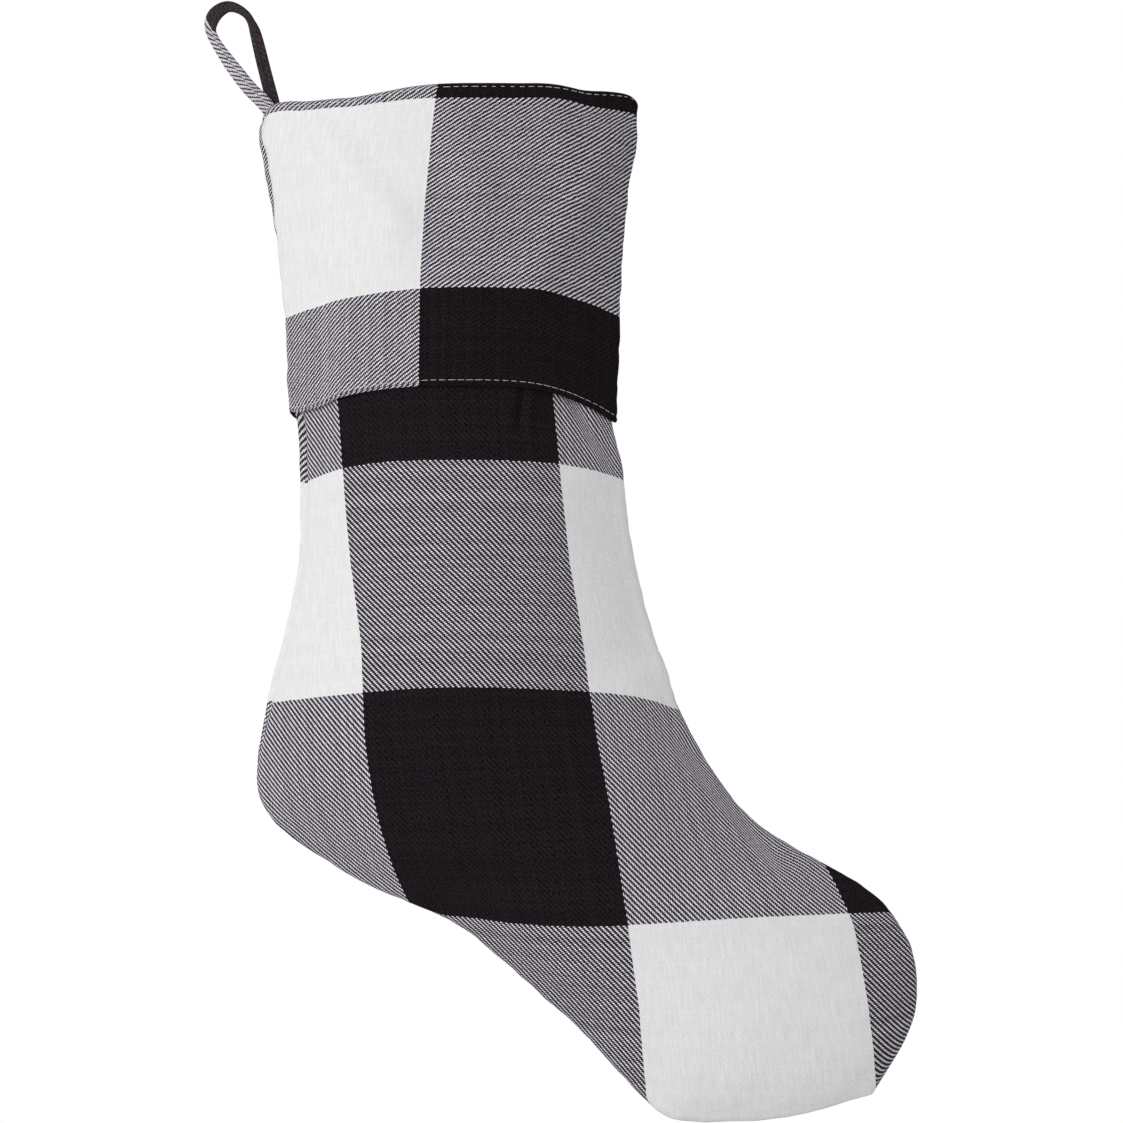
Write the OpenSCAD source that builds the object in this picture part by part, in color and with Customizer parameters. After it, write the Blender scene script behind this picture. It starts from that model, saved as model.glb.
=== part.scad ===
// Hanging stocking: a lined flannel sock with a turned-down cuff and a folded hanging loop.
// Millimetres. +Z is up, +X points to the toe, -Y is the front that faces the room.
// The origin is the middle of the loop's round eye, where a hook carries the stocking.

/* [Leg and foot] */
// Length of the leg down the spine, from the rim to the start of the ankle bend
leg_len = 237; // [200:1:280]
// Lean of the leg towards the toe, in degrees
leg_lean = 2.2; // [0:0.1:6]
// Radius of the ankle bend along the spine
ankle_bend_r = 139; // [125:1:170]
// Angle that the spine turns through at the ankle, in degrees
ankle_turn = 45; // [35:1:50]
// Length of the foot along the spine, from the end of the bend to the toe
foot_len = 190; // [175:1:230]

/* [Sections: heel-side half width, toe-side half width, half depth] */
// At the rim
rim_section = [85, 85, 36]; // [30:0.5:110]
// Half way down the cuff
cuff_section = [78.5, 74, 37]; // [30:0.5:110]
// At the hem of the cuff
hem_section = [76, 69.5, 37]; // [30:0.5:110]
// Below the cuff
calf_section = [75, 73.5, 38]; // [30:0.5:110]
// Where the ankle starts to bend
ankle_section = [83.5, 82, 40]; // [30:0.5:110]
// Above the heel
upper_heel_section = [97.5, 83.2, 41]; // [30:0.5:125]
// At the middle of the heel
heel_section = [114, 83, 41]; // [30:0.5:125]
// Below the heel
lower_heel_section = [97, 82, 40]; // [30:0.5:125]
// At the instep, where the bend ends
instep_section = [68, 76, 37]; // [30:0.5:110]
// At the arch of the foot
arch_section = [67, 60, 32]; // [25:0.5:100]
// At the ball of the foot
ball_section = [68.5, 72, 28]; // [20:0.5:100]
// Where the toe starts to close
toe_section = [47, 67, 21]; // [15:0.5:90]
// On the rounding of the toe
round_section = [30, 52.5, 14]; // [10:0.5:80]
// Just before the tip of the toe
close_section = [8, 33, 6]; // [4:0.5:60]
// At the tip of the toe, which is a short flat seam
tip_section = [-2, 9, 0]; // [-10:0.5:30]
// Distance from the end of the bend to the arch section
arch_from_bend = 54; // [40:1:70]
// Distance from the tip back to the ball section
ball_from_tip = 71; // [60:1:85]
// Distance from the tip back to the toe section
toe_from_tip = 36; // [28:1:45]
// Distance from the tip back to the rounding
round_from_tip = 18; // [13:1:24]
// Distance from the tip back to the closing section
close_from_tip = 6; // [4:1:9]
// Power that draws each section in at its side seams
seam_pinch = 1.2; // [1:0.05:1.5]

/* [Cloth] */
// Thickness of the brushed flannel
flannel_t = 1.4; // [0.8:0.1:2]
// Thickness of the lining cotton
lining_t = 0.6; // [0.4:0.1:1.2]
// Thickness of the cuff's inner layer
facing_t = 1; // [0.6:0.1:1.6]
// Thickness of the edge turned into the mouth
turn_in_t = 1; // [0.6:0.1:1.6]
// Clearance between neighbouring layers
layer_gap = 0.4; // [0.3:0.05:0.8]

/* [Cuff] */
// Height of the cuff at its side seams
cuff_h = 147; // [110:1:170]
// How far the hem rises at the middle of the front and back
hem_rise = 13; // [0:0.5:25]
// How far the rim dips at the side seams
rim_dip = 4; // [0:0.5:8]
// How far the hem stands out beyond the rim's own spacing
cuff_flare = 0.6; // [0:0.1:3]
// Depth of the edge that is turned into the mouth
turn_in = 12; // [8:1:25]
// Length by which the inner layer stops short of the hem
facing_short = 4; // [3:0.5:12]

/* [Loop] */
// Radius of the loop's round eye
eye_r = 6.6; // [5:0.1:9]
// Width of the folded strip
strip_w = 5.4; // [4:0.1:7]
// Thickness of the folded strip
strip_t = 2.4; // [1.6:0.1:3]
// Distance from the seam fold to the middle of the eye
loop_reach = 39.3; // [34:0.1:60]
// Lean of the loop away from the toe, in degrees
loop_lean = 25; // [10:1:35]
// Width of the loop where it meets the seam
loop_base_w = 13; // [11:0.5:16]
// Distance from the seam fold up to the point of the eye
eye_point_up = 4.5; // [3:0.1:8]
// Radius of the rounded fold at the loop's foot
fold_r = 1.4; // [1.3:0.05:1.8]
// Clearance between the fold and the rim
fold_gap = 0.4; // [0.3:0.05:1]
// Inset of the fold's middle from the cuff's outer edge
loop_inset = 3.4; // [2.5:0.1:5]
// Width of the tails that are sewn into the side seam
tail_w = 6; // [4:0.5:6.5]
// Thickness of the sewn tails
tail_t = 1.6; // [1:0.1:2]
// Depth of the sewn tails in the seam
tail_len = 15; // [10:1:20]
// Clearance round the tails in the seam
tail_gap = 0.3; // [0.2:0.05:0.5]

/* [Stitches] */
// Pitch of the topstitches
topstitch_pitch = 3.5; // [2.5:0.1:6]
// Length of one topstitch
topstitch_len = 2.6; // [1.5:0.1:2.8]
// Thickness of the topstitch thread
topstitch_t = 0.5; // [0.3:0.05:0.8]
// Distance of the hem's topstitch from the edge
hem_stitch_inset = 2.6; // [1.5:0.1:6]
// Distance of the rim's topstitch below the fold
rim_stitch_inset = 2.2; // [1.5:0.1:6]
// Pitch of the seam stitches
seam_pitch = 8; // [4:0.5:12]
// Thickness of the seam thread
seam_thread_t = 0.4; // [0.25:0.05:0.5]
// Reach of a seam stitch to each side of the seam
seam_bite = 1.4; // [1:0.1:2]
// Thickness of the lining's seam thread
lining_thread_t = 0.3; // [0.2:0.05:0.4]
// Reach of a lining stitch to each side of the seam
lining_bite = 0.5; // [0.3:0.05:0.7]
// Number of stitches in the tack that holds the loop
tack_count = 4; // [3:1:6]
// Reach of a tack stitch to each side of the seam
tack_bite = 3; // [2:0.5:5]

/* [Hidden] */

front = -1;
back = 1;
heel_seam = 0;
toe_seam = 180;

// Faces across a half section, then rows under the cuff, down the leg, round the bend and along the foot
section_steps = 12;
cuff_rows = 6;
leg_rows = 4;
bend_rows = 12;
foot_rows = 14;
angles = [for (i = [0:section_steps]) i * 180 / section_steps];

// Layer places, counted inwards from the outside of the leg
lining_out = flannel_t + layer_gap;
lining_in = lining_out + lining_t;
turn_out = lining_in + layer_gap;
turn_face = turn_out + turn_in_t;
facing_in = layer_gap;
facing_out = facing_in + facing_t;
cuff_in = facing_out + layer_gap;
cuff_out = cuff_in + flannel_t;
roof_under = layer_gap;
roof_top = roof_under + flannel_t;
fold_round = flannel_t / 3;

// The spine: a straight leg, an arc at the ankle and a straight foot
bend_len = ankle_bend_r * ankle_turn * PI / 180;
bend_end = leg_len + bend_len;
spine_len = bend_end + foot_len;
fold_at = [loop_reach * sin(loop_lean), -loop_reach * cos(loop_lean)];
rim_at = [fold_at[0] - loop_inset + rim_section[0] + cuff_out,
          fold_at[1] - fold_r - fold_gap - roof_top + rim_dip];

function turned(e) = leg_lean + (e <= leg_len ? 0 : min(e - leg_len, bend_len) / bend_len * ankle_turn);
function along(e) = [sin(turned(e)), -cos(turned(e))];
function across(e) = [cos(turned(e)), sin(turned(e))];
function spine(e) =
    e <= leg_len ? rim_at + e * along(e)
    : rim_at + leg_len * along(0) + ankle_bend_r * (across(0) - across(e))
      + max(e - bend_end, 0) * along(e);

// Sections along the spine, each with its distance from the rim
sections = [
    [0, rim_section],
    [cuff_h / 2, cuff_section],
    [cuff_h, hem_section],
    [(2 * cuff_h + leg_len) / 3, calf_section],
    [leg_len, ankle_section],
    [leg_len + 0.21 * bend_len, upper_heel_section],
    [leg_len + 0.43 * bend_len, heel_section],
    [leg_len + 0.65 * bend_len, lower_heel_section],
    [bend_end, instep_section],
    [bend_end + arch_from_bend, arch_section],
    [spine_len - ball_from_tip, ball_section],
    [spine_len - toe_from_tip, toe_section],
    [spine_len - round_from_tip, round_section],
    [spine_len - close_from_tip, close_section],
    [spine_len, tip_section]];
last_section = len(sections) - 1;

// A smooth curve through the sections, with each slope taken from the neighbours
function slope(i) =
    let (a = sections[max(i - 1, 0)], b = sections[min(i + 1, last_section)])
    (b[1] - a[1]) / (b[0] - a[0]);
function span_of(e, i = 0) = i >= last_section - 1 || e < sections[i + 1][0] ? i : span_of(e, i + 1);
function section(e) =
    let (x = min(max(e, 0), spine_len), i = span_of(x), a = sections[i], b = sections[i + 1],
         h = b[0] - a[0], t = (x - a[0]) / h, u = 1 - t)
    a[1] * (1 + 2 * t) * u * u + slope(i) * h * t * u * u
    + b[1] * t * t * (3 - 2 * t) - slope(i + 1) * h * t * t * u;

// The heel seam opens at the top to take the tails of the loop
function eased(t) = let (x = min(max(t, 0), 1)) x * x * (3 - 2 * x);
seam_open_len = 1.7 * tail_len;
function seam_room(e) = (tail_t / 2 + tail_gap) * (1 - eased((e - seam_open_len) / tail_len));

// A point of the cloth: e down the spine, a round the section from the heel seam, d in from the outside
function cloth(e, a, d, side) =
    let (w = section(e), half = (w[0] + w[1]) / 2 - d, c = spine(e) + across(e) * ((w[1] - w[0]) / 2 - half * cos(a)),
         y = max(w[2] - d, 0) * pow(sin(a), seam_pinch) + seam_room(e) * pow(max(cos(a), 0), 8))
    [c[0], side * y, c[1]];

// Rows of the sock follow the rim's dip under the cuff, and the inner layers stop short of the tip
tip_ease = 60;
sock_e = concat(
    [for (i = [0:cuff_rows]) cuff_h * i / cuff_rows],
    [for (i = [1:leg_rows]) cuff_h + (leg_len - cuff_h) * i / leg_rows],
    [for (i = [1:bend_rows]) leg_len + bend_len * i / bend_rows],
    [for (i = [1:foot_rows]) spine_len - foot_len * pow(1 - i / foot_rows, 1.5)]);
function dip(e, a) = rim_dip * pow(cos(a), 2) * max(1 - max(e, 0) / cuff_h, 0);
function short_of_tip(e, d) = d * eased((e - spine_len + tip_ease) / tip_ease);
function sock_grid(d, side) =
    [for (e = sock_e) [for (a = angles) cloth(e + dip(e, a) - short_of_tip(e, d), a, d, side)]];

// Rows of the cuff: v is 0 at the rim and 1 at the hem
function hem_e(a) = cuff_h - hem_rise * pow(sin(a), 2);
function cuff_e(v, a) = v * hem_e(a) + (1 - v) * rim_dip * pow(cos(a), 2);
function cuff_cloth(v, a, d, side) = cloth(cuff_e(v, a), a, d - cuff_flare * v, side);
function rim_cloth(e, a, d, side) = cloth(e + rim_dip * pow(cos(a), 2), a, d, side);
function band(d, v_from, v_to, side) =
    [for (i = [0:cuff_rows]) [for (a = angles)
        cuff_cloth(v_from + (v_to - v_from) * i / cuff_rows, a, d, side)]];
// Places of the cuff's edge as it folds over the rim: [d, e] outside and inside
fold_outside = [[-cuff_out + fold_round, fold_round - roof_top], [0, -roof_top],
                [turn_face - fold_round, fold_round - roof_top], [turn_face, fold_round], [turn_face, turn_in]];
fold_inside = [[-cuff_in, -roof_under], [0, -roof_under],
               [turn_out, -roof_under], [turn_out, fold_round], [turn_out, turn_in]];
function folded(places, side) = [for (p = places) [for (a = angles) rim_cloth(p[1], a, p[0], side)]];

// A layer of cloth between an outer and an inner grid of points
module layer(outer, inner, side) {
    rows = len(outer);
    cols = len(outer[0]);
    inside = rows * cols;
    function at(r, c) = r * cols + c;
    function quad(p, q, r, s) = [[p, q, r], [p, r, s]];
    function facing(f) = side == front ? f : [for (t = f) [t[2], t[1], t[0]]];
    skins = [for (r = [0:rows - 2]) for (c = [0:cols - 2]) each concat(
        quad(at(r, c), at(r, c + 1), at(r + 1, c + 1), at(r + 1, c)),
        quad(inside + at(r, c), inside + at(r + 1, c), inside + at(r + 1, c + 1), inside + at(r, c + 1)))];
    ends = [for (c = [0:cols - 2]) each concat(
        quad(at(0, c), inside + at(0, c), inside + at(0, c + 1), at(0, c + 1)),
        quad(at(rows - 1, c), at(rows - 1, c + 1), inside + at(rows - 1, c + 1), inside + at(rows - 1, c)))];
    edges = [for (r = [0:rows - 2]) each concat(
        quad(at(r, 0), at(r + 1, 0), inside + at(r + 1, 0), inside + at(r, 0)),
        quad(at(r, cols - 1), inside + at(r, cols - 1), inside + at(r + 1, cols - 1), at(r + 1, cols - 1)))];
    points = concat([for (row = outer) each row], [for (row = inner) each row]);
    polyhedron(points, facing(concat(skins, ends, edges)), convexity = 6);
}

module sock_panel(side) { color("dimgray") layer(sock_grid(0, side), sock_grid(flannel_t, side), side); }
module sock_lining(side) { color("ivory") layer(sock_grid(lining_out, side), sock_grid(lining_in, side), side); }
module cuff(side) {
    color("dimgray") layer(
        concat(band(-cuff_out, 1, 0, side), folded(fold_outside, side)),
        concat(band(-cuff_in, 1, 0, side), folded(fold_inside, side)), -side);
}
module cuff_facing(side) {
    short = 1 - facing_short / cuff_h;
    color("gray") layer(band(-facing_out, 0, short, side), band(-facing_in, 0, short, side), side);
}

// One stitch: a short bar of thread at p, along t, lying on a face whose normal is n
function unit(v) = v / norm(v);
module stitch(p, t, n, size) {
    z = unit(n - (n * unit(t)) * unit(t));
    x = unit(t);
    y = cross(z, x);
    multmatrix([[x[0], y[0], z[0], p[0]], [x[1], y[1], z[1], p[1]], [x[2], y[2], z[2], p[2]], [0, 0, 0, 1]])
        cube(size, center = true);
}

// Angles that divide a row of the cuff into equal stitches, clear of the seams
row_samples = 90;
function row_table(v, side, i = 1, so_far = [[0, 0]]) =
    i > row_samples ? so_far
    : row_table(v, side, i + 1, concat(so_far, [[
        so_far[i - 1][0] + norm(cuff_cloth(v, i * 180 / row_samples, -cuff_out, side)
                                - cuff_cloth(v, (i - 1) * 180 / row_samples, -cuff_out, side)),
        i * 180 / row_samples]]));
module topstitch_row(v, side) {
    table = row_table(v, side);
    length = table[row_samples][0];
    count = floor(length / topstitch_pitch) - 2;
    first = (length - (count - 1) * topstitch_pitch) / 2;
    for (i = [0:count - 1]) {
        a = lookup(first + i * topstitch_pitch, table);
        // The stitch lies on the flat facet between the two angles that bound it
        step = 180 / section_steps;
        lo = floor(a / step) * step;
        hi = min(lo + step, 180);
        mix = (a - lo) / (hi - lo);
        from = cuff_cloth(v, lo, -cuff_out, side);
        to = cuff_cloth(v, hi, -cuff_out, side);
        up = cuff_cloth(v - 0.05, lo, -cuff_out, side) - from;
        stitch(from + mix * (to - from), to - from, side * cross(to - from, up),
               [topstitch_len, topstitch_t, topstitch_t]);
    }
}
module rim_topstitch() {
    color("white") for (side = [front, back]) topstitch_row(rim_stitch_inset / cuff_h, side);
}
module cuff_hem_topstitch() {
    color("white") for (side = [front, back]) topstitch_row(1 - hem_stitch_inset / cuff_h, side);
}

// Seam stitches cross from the front cloth to the back cloth, inside its thickness
module seam_stitch(p, thread, bite) {
    translate(p) cube([thread, 2 * bite, thread], center = true);
}
// A run follows the facets of the cloth from row to row, between two distances down the spine
function seam_row(i, d, seam) =
    let (e = sock_e[i]) cloth(e + dip(e, seam) - short_of_tip(e, d), seam, d, 0);
module seam_run(e_from, e_to, d, seam, thread, bite) {
    for (i = [0:len(sock_e) - 2]) if (sock_e[i] >= e_from && sock_e[i + 1] <= e_to) {
        p = seam_row(i, d, seam);
        q = seam_row(i + 1, d, seam);
        count = max(round(norm(q - p) / seam_pitch), 1);
        for (k = [1:count]) seam_stitch(p + (k - 0.5) / count * (q - p), thread, bite);
    }
}
tail_clear = seam_open_len + tail_len + seam_pitch;
module body_seam_stitches() {
    color("white") for (seam = [heel_seam, toe_seam])
        seam_run(tail_clear, spine_len - close_from_tip, flannel_t / 2, seam, seam_thread_t, seam_bite);
}
module lining_seam_stitches() {
    color("white") for (seam = [heel_seam, toe_seam])
        seam_run(tail_clear, spine_len - toe_from_tip, lining_out + lining_t / 2, seam, lining_thread_t, lining_bite);
}
module cuff_seam_stitches() {
    color("white") for (seam = [heel_seam, toe_seam])
        for (e = [tail_clear:seam_pitch:cuff_h - 2 * hem_stitch_inset])
            seam_stitch(cloth(e, seam, -cuff_out + flannel_t / 2 - cuff_flare * e / cuff_h, 0),
                        seam_thread_t, seam_bite);
}

// The loop is one folded strip: its tails sit in the heel seam and the rest folds at the rim
tail_top = fold_at[1] - fold_r - fold_gap;
module loop_tails() {
    color("dimgray") translate([fold_at[0] - tail_w / 2, -tail_t / 2, tail_top - tail_len])
        cube([tail_w, tail_t, tail_len]);
}
module loop_tack_stitches() {
    color("white") for (i = [1:tack_count])
        translate([fold_at[0], 0, tail_top - i * tail_len / (tack_count + 1)])
            cube([tail_w / 2, 2 * tack_bite, seam_thread_t], center = true);
}

// Where the straight side from p runs into a circle of radius r about the eye; way is -1 or 1.
// The side ends just inside the circle, so that it cuts the round at a small angle.
side_cut = 0.96;
function touch(p, r, way) =
    let (q = side_cut * r, a = atan2(p[1], p[0]) + way * acos(q / norm(p))) [q * cos(a), q * sin(a)];
loop_out_r = eye_r + strip_w;
base_heel = fold_at - [loop_base_w / 2, 0];
base_toe = fold_at + [loop_base_w / 2, 0];
eye_point = fold_at + [0, eye_point_up];
module loop_outline() {
    difference() {
        union() {
            circle(r = loop_out_r, $fn = 96);
            polygon([touch(base_heel, loop_out_r, -1), base_heel, base_toe, touch(base_toe, loop_out_r, 1)]);
        }
        circle(r = eye_r, $fn = 96);
        polygon([touch(eye_point, eye_r, -1), eye_point, touch(eye_point, eye_r, 1)]);
    }
}
module hanging_loop() {
    color("dimgray") {
        rotate([90, 0, 0]) linear_extrude(height = strip_t, center = true) loop_outline();
        translate([fold_at[0], 0, fold_at[1]]) rotate([0, 90, 0])
            cylinder(r = fold_r, h = loop_base_w + fold_gap, center = true, $fn = 48);
    }
}

sock_panel(front);  // front_panel
sock_panel(back);  // back_panel
sock_lining(front);  // lining_front
sock_lining(back);  // lining_back
cuff(front);  // cuff_front
cuff(back);  // cuff_back
cuff_facing(front);  // cuff_facing_front
cuff_facing(back);  // cuff_facing_back
rim_topstitch();
cuff_hem_topstitch();
body_seam_stitches();
lining_seam_stitches();
cuff_seam_stitches();
loop_tails();
loop_tack_stitches();
hanging_loop();
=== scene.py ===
"""A hanging stocking of checked flannel: cloth shapes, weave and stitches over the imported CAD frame."""

import bpy
import numpy as np
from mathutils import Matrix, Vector


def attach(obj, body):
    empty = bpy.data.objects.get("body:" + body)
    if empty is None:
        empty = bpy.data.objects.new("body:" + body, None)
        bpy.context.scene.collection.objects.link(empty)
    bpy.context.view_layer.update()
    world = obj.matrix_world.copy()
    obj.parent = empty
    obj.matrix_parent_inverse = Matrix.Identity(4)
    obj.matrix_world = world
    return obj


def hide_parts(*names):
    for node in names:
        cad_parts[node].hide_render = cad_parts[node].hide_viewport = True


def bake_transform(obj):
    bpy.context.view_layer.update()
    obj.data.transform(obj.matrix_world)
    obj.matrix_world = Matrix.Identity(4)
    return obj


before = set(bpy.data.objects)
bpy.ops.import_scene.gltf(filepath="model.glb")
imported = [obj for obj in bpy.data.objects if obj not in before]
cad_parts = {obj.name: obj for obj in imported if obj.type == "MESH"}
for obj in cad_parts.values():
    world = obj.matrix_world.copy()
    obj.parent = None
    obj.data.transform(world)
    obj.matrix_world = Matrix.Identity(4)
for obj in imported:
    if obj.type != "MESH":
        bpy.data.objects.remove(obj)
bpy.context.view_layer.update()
MM = 0.001
# The way round of each half, and the angle at its middle
WAY = {"front": 1, "back": -1}
MIDDLE_ANGLE = {"front": 90.0, "back": 270.0}

# Spine of the sock, in millimetres, as in the part's source
LEG_LEN = 237.0
LEG_LEAN = np.radians(2.2)
BEND_R = 139.0
BEND_TURN = np.radians(45)
FOOT_LEN = 190.0
CUFF_H = 147.0
BEND_LEN = BEND_R * BEND_TURN
BEND_END = LEG_LEN + BEND_LEN
SPINE_LEN = BEND_END + FOOT_LEN

# The loop's fold and the middle of the rim, X and Z, as in the part's source
LOOP_REACH = 39.3
LOOP_LEAN = np.radians(25)
LOOP_INSET = 3.4
LOOP_FOLD_R = 1.4
LOOP_FOLD_GAP = 0.4
RIM_HALF = 85.0
RIM_DIP = 4.0
RIM_TOP = 1.8
RIM_THICK = 3.2
FOLD = LOOP_REACH * np.array([np.sin(LOOP_LEAN), -np.cos(LOOP_LEAN)])
RIM = FOLD + np.array([
    RIM_HALF + RIM_THICK - LOOP_INSET,
    RIM_DIP - RIM_TOP - LOOP_FOLD_R - LOOP_FOLD_GAP])

# Sections of the sock: distance down the spine, heel-side half width, toe-side half width, half depth
STATIONS = np.array([
    (0, RIM_HALF, RIM_HALF, 36),
    (CUFF_H / 2, 78.5, 74, 37),
    (CUFF_H, 76, 69.5, 37),
    ((2 * CUFF_H + LEG_LEN) / 3, 75, 73.5, 38),
    (LEG_LEN, 83.5, 82, 40),
    (LEG_LEN + 0.21 * BEND_LEN, 97.5, 83.2, 41),
    (LEG_LEN + 0.43 * BEND_LEN, 114, 83, 41),
    (LEG_LEN + 0.65 * BEND_LEN, 97, 82, 40),
    (BEND_END, 68, 76, 37),
    (BEND_END + 54, 67, 60, 32),
    (SPINE_LEN - 71, 68.5, 72, 28),
    (SPINE_LEN - 36, 47, 67, 21),
    (SPINE_LEN - 18, 30, 52.5, 14),
    (SPINE_LEN - 6, 8, 33, 6),
    (SPINE_LEN, -2, 9, 0),
])
# Small bulges and hollows of the filled cloth: distance, then heel side and toe side
SOFT_OUTLINE = np.array([
    (0, -1.2, -0.5), (6, -0.8, 0.3), (10, 1.2, 0.2), (15, 1.75, 0.6), (22, 1.3, 2.1), (45, 0.5, 0.6),
    (60, 0.2, 0.9), (75, 0.4, 0.7), (95, -0.3, 0.8), (115, -0.2, 1.0), (138, 0.5, 0.1), (150, -0.5, 0.5),
    (172, 0.6, 1.4), (205, -0.4, -0.9), (245, 0.8, 0.3), (285, 0.6, 1.0), (335, 0.2, 1.2), (362, 2.8, -0.7),
    (390, 0.8, 1.1), (430, -1.3, -0.9), (458, 0.5, -0.6), (478, 4.1, 1.4), (500, 0.6, 1.3), (518, -3.4, 2.2),
    (527, -1.6, 2.2), (SPINE_LEN, -1.5, -4.5)])
# Power that draws a section in at its seams, and the least radius for the outward directions
SEAM_PINCH = 1.8
LEAST_R = 6.0


def smooth(t):
    """0 to 1 with level ends."""
    t = np.clip(t, 0, 1)
    return t * t * (3 - 2 * t)


def curve(table, x):
    """A smooth curve through the rows of a table, whose first column is the place along it."""
    at, values = table[:, 0], table[:, 1:]
    slopes = np.empty_like(values)
    slopes[1:-1] = (values[2:] - values[:-2]) / (at[2:] - at[:-2])[:, None]
    slopes[0] = (values[1] - values[0]) / (at[1] - at[0])
    slopes[-1] = (values[-1] - values[-2]) / (at[-1] - at[-2])
    x = np.clip(x, at[0], at[-1])
    i = np.clip(np.searchsorted(at, x, side="right") - 1, 0, len(at) - 2)
    h = (at[i + 1] - at[i])[..., None]
    t = (x - at[i])[..., None] / h
    u = 1 - t
    return (values[i] * (1 + 2 * t) * u * u + slopes[i] * h * t * u * u
            + values[i + 1] * t * t * (3 - 2 * t) - slopes[i + 1] * h * t * t * u)


def section(e):
    """Heel-side half width, toe-side half width and half depth at distance e down the spine."""
    found = curve(STATIONS, e)
    soft = curve(SOFT_OUTLINE, e)
    return found[..., 0] + soft[..., 0], found[..., 1] + soft[..., 1], found[..., 2]


def spine(e):
    """Point on the spine, and the direction across it towards the toe side, both in the X Z plane."""
    turn = LEG_LEAN + BEND_TURN * np.clip((e - LEG_LEN) / BEND_LEN, 0, 1)
    across = np.stack([np.cos(turn), np.sin(turn)], -1)
    along = np.stack([np.sin(turn), -np.cos(turn)], -1)
    leg_across = np.array([np.cos(LEG_LEAN), np.sin(LEG_LEAN)])
    leg_along = np.array([np.sin(LEG_LEAN), -np.cos(LEG_LEAN)])
    straight = RIM + e[..., None] * leg_along
    bent = RIM + LEG_LEN * leg_along + BEND_R * (leg_across - across)
    beyond = bent + np.maximum(e - BEND_END, 0)[..., None] * along
    return np.where((e <= LEG_LEN)[..., None], straight, beyond), across


def cloth(e, a, d):
    """Points and outward directions of cloth, then the middle, cross way and shift of its sections. e runs
    down the spine, a in degrees from the heel side over the front and round the back, d inwards."""
    left, right, depth = section(e)
    half = (left + right) / 2 - d
    mid = (right - left) / 2
    deep = np.maximum(depth - d, 0)
    r = np.radians(a)
    c, s = np.cos(r), np.sin(r)
    centre, across = spine(e)
    place = centre + across * (mid - half * c)[..., None]
    y = -deep * np.sign(s) * np.abs(s) ** SEAM_PINCH
    points = np.stack([place[..., 0], y, place[..., 1]], -1)
    n_across, n_y = -c / np.maximum(half, LEAST_R), -s / np.maximum(deep, LEAST_R)
    size = np.hypot(n_across, n_y)
    out = np.stack([across[..., 0] * n_across / size, n_y / size, across[..., 1] * n_across / size], -1)
    return points, out, centre, across, mid


def half_angles(side, heel, toe, t):
    """Angles round one half of the sock, from seam to seam as t goes from 0 to 1."""
    if side == "front":
        return heel + (toe - heel) * t
    return toe + (360 + heel - toe) * t


def steps(points, axis):
    """Running length along one axis of a grid of points."""
    gaps = np.linalg.norm(np.diff(points, axis=axis), axis=-1)
    pad = [(0, 0), (0, 0)]
    pad[axis] = (1, 0)
    return np.pad(np.cumsum(gaps, axis=axis), pad)


def seam_distances(points, side):
    """Distances round the section from the heel-side seam and from the toe-side seam."""
    run = steps(points, 1)
    left = run[:, -1:] - run
    return (run, left) if side == "front" else (left, run)


def arc_from_middle(points, a, side):
    """Length round each section from the middle of its half, towards the toe side."""
    run = steps(points, 1)
    at_middle = np.array([np.interp(MIDDLE_ANGLE[side], *row) for row in zip(a, run)])[:, None]
    return WAY[side] * (run - at_middle)


def unrolled(arc, centre, across, mid):
    """Flat place of each point, with every section laid out straight from its middle."""
    return centre + across * (mid + arc)[..., None]


def seam_share(arc):
    """Place across the cloth: -1 at the heel-side seam, 0 in the middle, 1 at the toe-side seam."""
    ends = np.where(arc > 0, arc.max(1, keepdims=True), arc.min(1, keepdims=True))
    return np.clip(arc / np.abs(ends), -1, 1)


# Numbers that scatter the cells of the noise
HASH_AXES = np.array([73856093, 19349663, 83492791])
HASH_SEED = 7919
HASH_MIX = (2654435761, 2246822519)
HASH_TOP = 2 ** 32
HASH_SHIFT = 15
HASH_LEVELS = 2 ** 16


def value_noise(p, seed):
    """Smooth noise from -1 to 1 on a lattice of unit cells."""
    cell = np.floor(p).astype(np.int64)
    f = smooth(p - cell)
    total = 0
    for corner in np.ndindex(2, 2, 2):
        h = np.bitwise_xor.reduce((cell + corner) * HASH_AXES, axis=-1) ^ (seed * HASH_SEED)
        h = (h * HASH_MIX[0]) % HASH_TOP
        h = ((h ^ (h >> HASH_SHIFT)) * HASH_MIX[1]) % HASH_TOP
        w = np.prod(np.where(np.array(corner) == 1, f, 1 - f), -1)
        total = total + w * (2 * (h % HASH_LEVELS) / (HASH_LEVELS - 1) - 1)
    return total


def dents(points, rows):
    """Soft dents and swells of the cloth; each row is height, size, shift and seed."""
    return sum(height * value_noise(points / size + shift, seed) for height, size, shift, seed in rows)


# Waves of a puckered seam: length, height
PUCKER_WAVES = [(7.9, 0.5), (12.3, 0.8), (19.1, 1.0), (33.0, 0.7)]


def seam_gather(run, seed):
    """Small uneven puckers along a seam."""
    phases = np.random.default_rng(seed).uniform(0, 2 * np.pi, len(PUCKER_WAVES))
    waves = zip(PUCKER_WAVES, phases)
    return sum(high * np.sin(2 * np.pi * run / long + phase) for (long, high), phase in waves) / 2


def puckers(down, heel, toe, height, reach, seeds):
    """Puckers that fade away from the side seams, by the distances heel and toe."""
    pairs = zip(seeds, (heel, toe))
    return height * sum(seam_gather(down, seed) * np.exp(-far / reach) for seed, far in pairs)


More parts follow.
